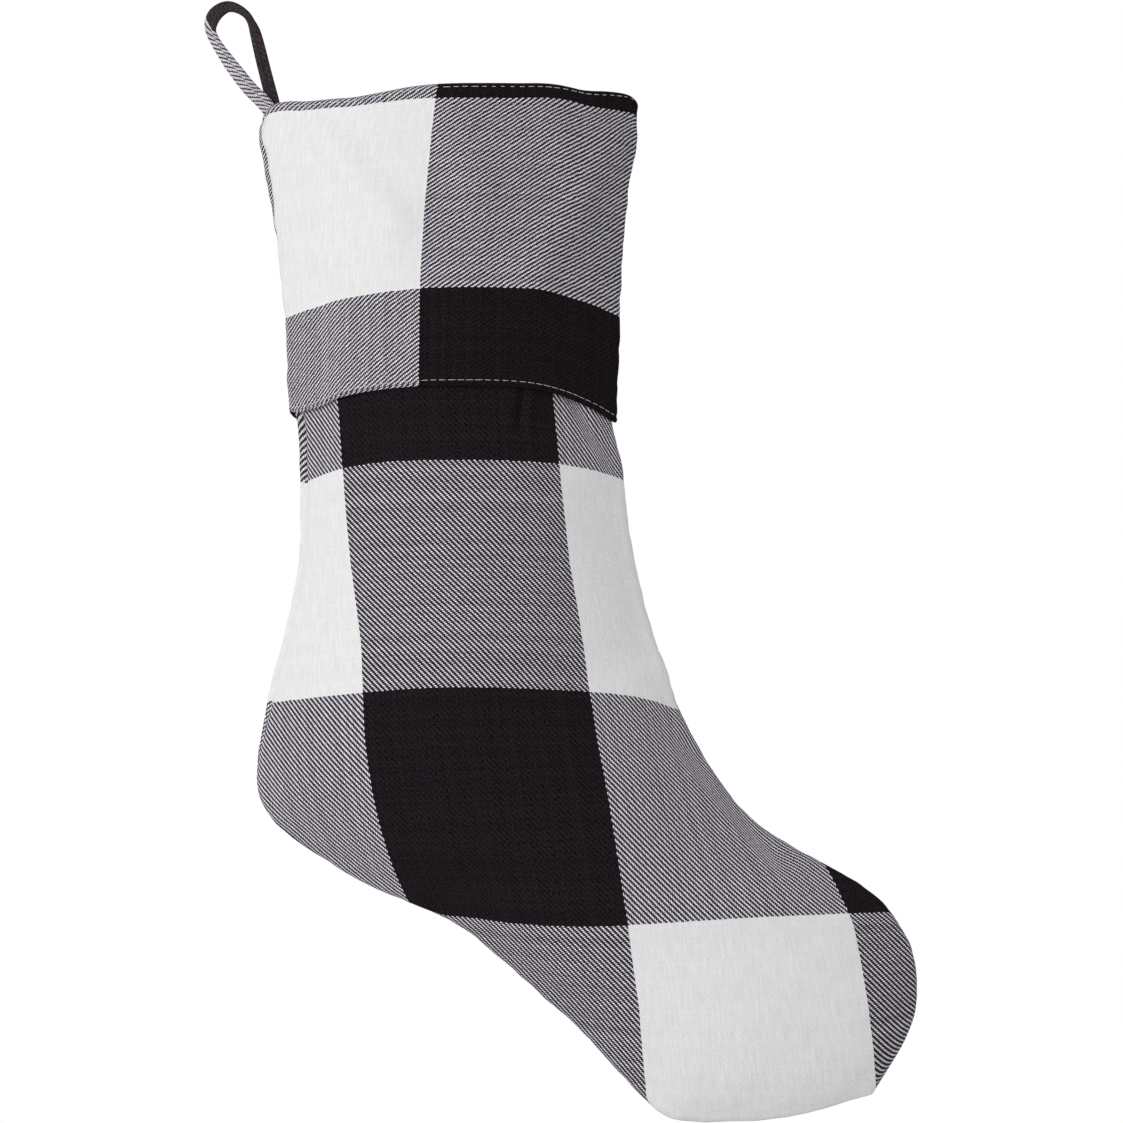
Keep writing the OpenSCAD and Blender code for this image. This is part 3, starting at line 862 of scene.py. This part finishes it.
def cuff(name, side):
    """One half of the cuff."""
    t = np.linspace(0, 1, CUFF_COLUMNS)[None, :]
    v, past, d = (column[:, None] + 0 * t for column in CUFF_PATH.T)
    a, e = cuff_place(side, v, t)
    points, out, *middle = cloth(e + past, a, d + hem_tuck(a, v))
    flat = unrolled(arc_from_middle(points, a, side), *middle)
    down = steps(points, 0)
    heel, toe = seam_distances(points, side)
    beside = np.minimum(heel, toe)
    from_hem = (1 - v) * CUFF_H
    gather = puckers(down, heel, toe, *CUFF_PUCKERS)
    soft = dents(points, CUFF_DENTS) + dents(points, HEM_DENTS) * smooth(1 - from_hem / HEM_DENTS_HIGH)
    if side == "front":
        soft = soft + sum(crease(points, *fold) for fold in CUFF_FOLDS)
    lift = CUFF_SEAM_FALL * seam_fall(beside) + gather + soft * smooth(beside / SEAM_CALM)
    lift = lift * (RIM_RELIEF + (1 - RIM_RELIEF) * smooth(v / RELIEF_OVER))
    stitched = STITCH_DENT * np.exp(-((from_hem - HEM_STITCH) / STITCH_DENT_WIDE) ** 2)
    lift = lift - np.where((v > 0) & (v < 1), stitched, 0)
    points = points + out * lift[..., None]
    weave = cuff_checks(flat, a, v, down, side, heel)
    unfold = np.stack([flat[..., 0] * WAY[side], -down], -1)
    return grid_object(name, points, weave, unfold, CUFF_CLOTH), points


cuff_front, cuff_front_points = cuff("cuff_front_cloth", "front")
cuff_back, cuff_back_points = cuff("cuff_back_cloth", "back")

# The cuff's inner layer
FACING_COLUMNS = 61
FACING_SHARES = np.linspace(0.03, 0.965, 24)
FACING_OUT = 1.0
FACING_FLARE = 0.4
FACING_WEFT = 138.0
FACING_LONG = 140.0


def cuff_facing(name, side):
    """The inner layer of one half of the cuff, seen only from below."""
    t = np.linspace(0, 1, FACING_COLUMNS)[None, :]
    v = FACING_SHARES[:, None] + 0 * t
    a, e = cuff_place(side, v, t)
    points, _, *middle = cloth(e, a, -FACING_OUT - FACING_FLARE * v)
    flat = unrolled(arc_from_middle(points, a, side), *middle)
    weave = np.stack([flat[..., 0], v * FACING_WEFT + CUFF_CHECK[1], 0 * v], -1)
    unfold = np.stack([flat[..., 0] * WAY[side], -v * FACING_LONG], -1)
    return grid_object(name, points, weave, unfold, CUFF_CLOTH, flip=True)


facing_front = cuff_facing("cuff_facing_front_cloth", "front")
facing_back = cuff_facing("cuff_facing_back_cloth", "back")

# The loop: one flat folded strip. Its line is X, Z and half width in photograph pixels, and Y in millimetres
LOOP_LINE = np.array([
    (274, 128, 6.0, -0.2), (271.8, 115, 6.8, -0.5), (264, 103, 7.5, -1.3), (250.3, 89.2, 7.4, -1.8),
    (237.2, 72.9, 7.1, -1.9), (229, 62, 6.5, -1.8), (217.5, 45, 5.2, -1.5), (211.5, 33, 5.2, -1.2),
    (211.3, 23.5, 6.6, -0.9), (215.2, 14.8, 7.2, -0.6), (222.5, 8.7, 6.5, -0.2), (229.8, 6.6, 5.5, 0.2),
    (238.2, 8.8, 4.6, 0.5), (246.2, 14.3, 3.9, 0.8), (251, 21.7, 4.0, 1.0), (254.9, 31.7, 5.5, 1.3),
    (258.9, 47.5, 6.2, 1.6), (262.8, 63.8, 6.4, 1.8), (267.7, 83, 6.5, 1.8), (272.6, 102, 6.8, 1.2),
    (275, 115, 7.0, 0.5), (275.5, 128, 6.5, 0.3)])
LOOP_POINTS = 150
FINE_POINTS = 40


def unit(vectors):
    """Vectors of length 1."""
    return vectors / np.linalg.norm(vectors, axis=-1, keepdims=True)


def line_run(points):
    """Running length along a line of points."""
    return np.concatenate([[0], np.cumsum(np.linalg.norm(np.diff(points, axis=0), axis=1))])


def along_line(at, run, values):
    """Rows of values at places along a line."""
    return np.stack([np.interp(at, run, column) for column in values.T], -1)


def spread(values, count):
    """A smooth curve through rows of values, with count points at even lengths, and those lengths."""
    n = len(values)
    padded = np.concatenate([2 * values[:1] - values[1:2], values, 2 * values[-1:] - values[-2:-1]])
    t = np.linspace(0, n - 1, FINE_POINTS * n)
    i = np.minimum(t.astype(int), n - 2)
    f = (t - i)[:, None]
    p0, p1, p2, p3 = (padded[i + k] for k in range(4))
    fine = 0.5 * (2 * p1 + (p2 - p0) * f + (2 * p0 - 5 * p1 + 4 * p2 - p3) * f ** 2
                  + (3 * p1 - p0 - 3 * p2 + p3) * f ** 3)
    run = line_run(fine[:, :2])
    at = np.linspace(0, run[-1], count)
    return along_line(at, run, fine), at


# Section of the strip
STRIP_POINTS = 14
STRIP_HALF = 1.15
STRIP_EDGE = 0.12
EDGE_POWER = 5
EDGE_START = 0.95
# The right leg has a valley along it, and the rest has wrinkles
LEG_FROM = 0.62
LEG_OVER = 0.12
VALLEY_DEEP = 0.95
VALLEY_AT = 0.15
VALLEY_WIDE = 0.28
WRINKLE_HIGH = 0.12
WRINKLE_LONG = 3.1
WRINKLE_LEAN = 2.0
# Colours of the strip, whose turned edge is shifted
LOOP_MIX = 56.0
TURNED_SHIFT = 1.28
TURNED_FROM = -0.1
TURNED_OVER = 0.12
COLOUR_SLANT = 3.8
LOOP_CHECKS = (1.5, 3)


def loop_strip(name):
    """The strip of the loop, folded in two along its length, with its open edge on one side."""
    line, at = spread(LOOP_LINE, LOOP_POINTS)
    run = (at * PX)[:, None]
    x, z = (line[:, :1] - EYE_PIXEL[0]) * PX, -(line[:, 1:2] - EYE_PIXEL[1]) * PX
    half, y = line[:, 2:3] * PX, line[:, 3:]
    way = unit(np.concatenate([np.gradient(x, axis=0), np.gradient(z, axis=0)], -1))
    there, back = np.linspace(-1, 1, STRIP_POINTS), np.linspace(1, -1, STRIP_POINTS)[1:]
    ring = np.concatenate([there, back])[None, :]
    face = np.array([-1] * len(there) + [1] * len(back))[None, :]
    thick = STRIP_HALF * (1 - np.abs(ring) ** EDGE_POWER) + STRIP_EDGE
    right_leg = smooth((run / run[-1] - LEG_FROM) / LEG_OVER)
    valley = right_leg * VALLEY_DEEP * np.exp(-((ring - VALLEY_AT) / VALLEY_WIDE) ** 2)
    wrinkle = WRINKLE_HIGH * np.sin(run / WRINKLE_LONG + WRINKLE_LEAN * ring) * (1 - right_leg)
    depth = y + face * (thick - valley + wrinkle * (np.abs(ring) < EDGE_START))
    points = np.stack([x - way[:, 1:] * half * ring, depth, z + way[:, :1] * half * ring], -1)
    across = half * np.where(face > 0, 2 - ring, ring)
    turned = TURNED_SHIFT * smooth((TURNED_FROM - ring) / TURNED_OVER) + 0 * across
    along = run - LOOP_MIX + turned + LOOP_CHECKS[1] * CHECK
    weave = np.stack([across + LOOP_CHECKS[0] * CHECK, along, -turned - COLOUR_SLANT * ring], -1)
    return grid_object(name, points, weave, None, LOOP_CLOTH, flip=True)


loop_cloth = loop_strip("hanging_loop_cloth")

# Stitches: short tubes of thread that dip into the cloth at both ends and are thinner there
STITCH_SEED = 17
STITCH_PLACES = np.linspace(-1, 1, 6)
STITCH_SIDES = 6
STITCH_TURNS = np.radians(np.arange(STITCH_SIDES) * 360 / STITCH_SIDES)[:, None]
STITCH_HALF = 0.47
STITCH_DIP = 1.6
STITCH_THIN = 0.45
# How an uneven row strays in length and in height
LENGTH_STRAY = 0.4
RISE_STRAY = (-0.3, 0.15)


def stitch_tube(centre, up, side, radius):
    """Points round one stitch, ring by ring."""
    r = radius * (1 - STITCH_THIN * np.abs(STITCH_PLACES) ** 6)
    ring = np.cos(STITCH_TURNS) * side[:, None] + np.sin(STITCH_TURNS) * up[:, None]
    return (centre[:, None] + r[:, None, None] * ring).reshape(-1, 3)


def tube_faces(base):
    """Faces of one stitch, whose first point has the number base."""
    ids = base + np.arange(len(STITCH_PLACES) * STITCH_SIDES).reshape(-1, STITCH_SIDES)
    turned = np.roll(ids, -1, axis=1)
    sides = np.stack([ids[:-1], turned[:-1], turned[1:], ids[1:]], -1).reshape(-1, 4)
    return sides.tolist() + [ids[0, ::-1].tolist(), ids[-1].tolist()]


def stitch_rows(name, lines, pitch, length, radius, lift, stray=0.2):
    """One object of stitches along lines of (points, outward directions); stray is how uneven they are."""
    rng = np.random.default_rng(STITCH_SEED)
    verts, faces = [], []
    for points, out in lines:
        run = line_run(points)
        count = int(run[-1] / pitch) - 1
        first = (run[-1] - (count - 1) * pitch) / 2
        for i in range(count):
            at = first + i * pitch + rng.uniform(-stray, stray)
            half = STITCH_HALF + rng.uniform(-LENGTH_STRAY, LENGTH_STRAY) * stray
            rise = lift + rng.uniform(*RISE_STRAY) * stray
            at = at + STITCH_PLACES * length * half
            centre, up = along_line(at, run, points), along_line(at, run, out)
            way = unit(np.gradient(centre, axis=0))
            up = unit(up - way * (up * way).sum(1)[:, None])
            centre = centre + up * (rise - abs(lift) * STITCH_DIP * STITCH_PLACES ** 4)[:, None]
            faces += tube_faces(len(verts) * len(STITCH_PLACES) * STITCH_SIDES)
            verts.append(stitch_tube(centre, up, np.cross(way, up), radius))
    mesh = bpy.data.meshes.new(name)
    mesh.from_pydata((np.concatenate(verts) * MM).tolist(), [], faces)
    return placed(name, mesh, THREAD)


# Columns beside the side seams that have no topstitches
FREE_COLUMNS = 3


def cloth_line(points, row):
    """A row of a grid of points, also between two rows, with its directions away from the cloth."""
    normal = unit(np.cross(np.gradient(points, axis=1), np.gradient(points, axis=0)))
    low = int(row)
    rows = np.stack([points, -normal])[:, low:low + 2, FREE_COLUMNS:-FREE_COLUMNS]
    return rows[:, 0] * (1 - row + low) + rows[:, 1] * (row - low)


def both_cuffs(row):
    """A row of the cuff's front and back."""
    return [cloth_line(points, row) for points in (cuff_front_points, cuff_back_points)]


# Where the rows of stitches run
RIM_STITCH_TURN = 157
BODY_FIRST_ROW = 12
CUFF_SEAM_ROWS = slice(18, 82)
LINING_SEAM_ROWS = slice(2, -2)
LINING_SEAM_WAYS = ((1.0, 0.0, 0.0), (-1.0, 0.0, 0.0))
# Where the cuff's side seams get their outward directions
CUFF_SEAM_E = 70.0
CUFF_SEAM_ANGLES = (9.5, 185.0)
SEAM_COLUMNS = (0, -1)


def seam_lines(points, rows, ways):
    """The two side seams of a grid of points, each with its outward direction."""
    lines = [points[rows, column] for column in SEAM_COLUMNS]
    return [(line, np.tile(way, (len(line), 1))) for line, way in zip(lines, ways)]


hem_row = np.interp(1 - HEM_STITCH / CUFF_H, CUFF_PATH[FOLD_END:, 0], np.arange(FOLD_END, len(CUFF_PATH)))
rim_row = FOLD_START + RIM_STITCH_TURN / FOLD_STEP
cuff_ways = cloth(np.full(1, CUFF_SEAM_E), np.array(CUFF_SEAM_ANGLES), 0.0)[1]
cuff_lines = seam_lines(cuff_front_points, CUFF_SEAM_ROWS, cuff_ways)
lining_lines = seam_lines(lining_points, LINING_SEAM_ROWS, LINING_SEAM_WAYS)
body_lines = [(front_points[BODY_FIRST_ROW:, c], front_out[BODY_FIRST_ROW:, c]) for c in SEAM_COLUMNS]
hem_stitches = stitch_rows("hem_topstitch_thread", both_cuffs(hem_row), 4.1, 3.8, 0.11, 0.12)
rim_stitches = stitch_rows("rim_topstitch_thread", both_cuffs(rim_row), 4.3, 3.2, 0.13, 0.12, 0.4)
body_stitches = stitch_rows("body_seam_thread", body_lines, 4.0, 2.6, 0.15, -0.35)
cuff_stitches = stitch_rows("cuff_seam_thread", cuff_lines, 4.0, 2.6, 0.15, -0.2)
lining_stitches = stitch_rows("lining_seam_thread", lining_lines, 8.0, 4.8, 0.15, 0.05)
tack_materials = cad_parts["loop_tack_stitches"].data.materials
tack_materials.clear()
tack_materials.append(THREAD)

# Bodies, replaced CAD nodes and slots
PIECES = [
    (front_panel, ["front_panel"], "check_flannel"),
    (back_panel, ["back_panel"], "check_flannel"),
    (lining_front, ["lining_front"], "lining_cotton"),
    (lining_back, ["lining_back"], "lining_cotton"),
    (cuff_front, ["cuff_front"], "check_flannel"),
    (cuff_back, ["cuff_back"], "check_flannel"),
    (facing_front, ["cuff_facing_front"], "check_flannel"),
    (facing_back, ["cuff_facing_back"], "check_flannel"),
    (hem_stitches, ["cuff_hem_topstitch"], "white_thread"),
    (rim_stitches, ["rim_topstitch"], "white_thread"),
    (body_stitches, ["body_seam_stitches"], "white_thread"),
    (cuff_stitches, ["cuff_seam_stitches"], "white_thread"),
    (lining_stitches, ["lining_seam_stitches"], "white_thread"),
    (loop_cloth, ["hanging_loop", "loop_tails"], "check_flannel"),
]
for piece, nodes, slot in PIECES:
    if piece is loop_cloth:
        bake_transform(piece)
    else:
        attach(piece, "stocking")
    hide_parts(*nodes)

# Light, floor, world and camera, in metres
HEART = (MIDDLE[0] * MM, 0.0, MIDDLE[1] * MM)
KEY_PLACE = (-0.92, -1.45, 0.12)
KEY_SIZE = 1.1
KEY_POWER = 14.6
FLOOR_Z = -1.4
FLOOR_HALF = 2.5
FLOOR_NEAR = 1.0
FLOOR_FAR = 2.3
FLOOR_COLOUR = (0.85, 0.85, 0.85, 1)
SKY = (0.595, 0.595, 0.60, 1)
SENSOR = 36


def key_light():
    """A square lamp in front at the left."""
    data = bpy.data.lights.new("key", "AREA")
    data.size = KEY_SIZE
    data.energy = KEY_POWER
    lamp = bpy.data.objects.new("key", data)
    bpy.context.scene.collection.objects.link(lamp)
    lamp.location = KEY_PLACE
    lamp.rotation_euler = (Vector(HEART) - Vector(KEY_PLACE)).to_track_quat("-Z", "Y").to_euler()


def direct_rays(tree, m):
    """1 for what is seen straight, in a mirror or through glass."""
    rays = tree.nodes.new("ShaderNodeLightPath")
    seen = m("MAXIMUM", rays.outputs["Is Glossy Ray"], rays.outputs["Is Transmission Ray"])
    return m("MAXIMUM", rays.outputs["Is Camera Ray"], seen)


def picked(tree, share, first, second, end):
    """Sends the first shader, or the second as share goes to 1, to the end node."""
    pick = tree.nodes.new("ShaderNodeMixShader")
    tree.links.new(share, pick.inputs[0])
    tree.links.new(first.outputs[0], pick.inputs[1])
    tree.links.new(second.outputs[0], pick.inputs[2])
    tree.links.new(pick.outputs[0], tree.nodes[end].inputs[0])


def pale_floor_paint():
    """A pale floor that fades to the white background far from the object."""
    paint = bpy.data.materials.new("pale floor")
    paint.use_nodes = True
    tree = paint.node_tree
    m = node_maths(tree)
    main = tree.nodes["Principled BSDF"]
    main.inputs["Base Color"].default_value = FLOOR_COLOUR
    main.inputs["Roughness"].default_value = 0.9
    place = tree.nodes.new("ShaderNodeTexCoord")
    far = tree.nodes.new("ShaderNodeVectorMath")
    far.operation = "LENGTH"
    tree.links.new(place.outputs["Object"], far.inputs[0])
    faded = soft_step(m, FLOOR_NEAR, FLOOR_FAR, far.outputs["Value"])
    white = tree.nodes.new("ShaderNodeEmission")
    picked(tree, m("MULTIPLY", faded, direct_rays(tree, m)), main, white, "Material Output")
    return paint


def studio_floor():
    """A square floor below the stocking, which is no piece of it."""
    mesh = bpy.data.meshes.new("floor")
    corners = [(-1, -1), (1, -1), (1, 1), (-1, 1)]
    mesh.from_pydata([(x * FLOOR_HALF, y * FLOOR_HALF, 0) for x, y in corners], [], [(0, 1, 2, 3)])
    mesh.materials.append(pale_floor_paint())
    floor = bpy.data.objects.new("floor", mesh)
    floor.location = (HEART[0], 0, FLOOR_Z)
    bpy.context.scene.collection.objects.link(floor)


def studio_world():
    """Even light from all round, in front of a white background."""
    world = bpy.data.worlds.new("studio")
    world.use_nodes = True
    bpy.context.scene.world = world
    tree = world.node_tree
    light = tree.nodes["Background"]
    light.inputs["Color"].default_value = SKY
    bright = tree.nodes.new("ShaderNodeBackground")
    bright.inputs["Color"].default_value = (1, 1, 1, 1)
    picked(tree, direct_rays(tree, node_maths(tree)), light, bright, "World Output")


def photo_camera():
    """The camera that sees the stocking as the photograph does."""
    lens = bpy.data.cameras.new("camera")
    lens.sensor_width = SENSOR
    lens.lens = SENSOR * CAMERA_FAR / (PHOTO_SIDE * PX)
    lens.clip_end = 20
    camera = bpy.data.objects.new("camera", lens)
    bpy.context.scene.collection.objects.link(camera)
    camera.location = (HEART[0], -CAMERA_FAR * MM, HEART[2])
    camera.rotation_euler = (np.pi / 2, 0, 0)
    return camera


key_light()
studio_floor()
studio_world()
scene = bpy.context.scene
scene.camera = photo_camera()
scene.view_settings.view_transform = "Standard"
scene.view_settings.look = "None"
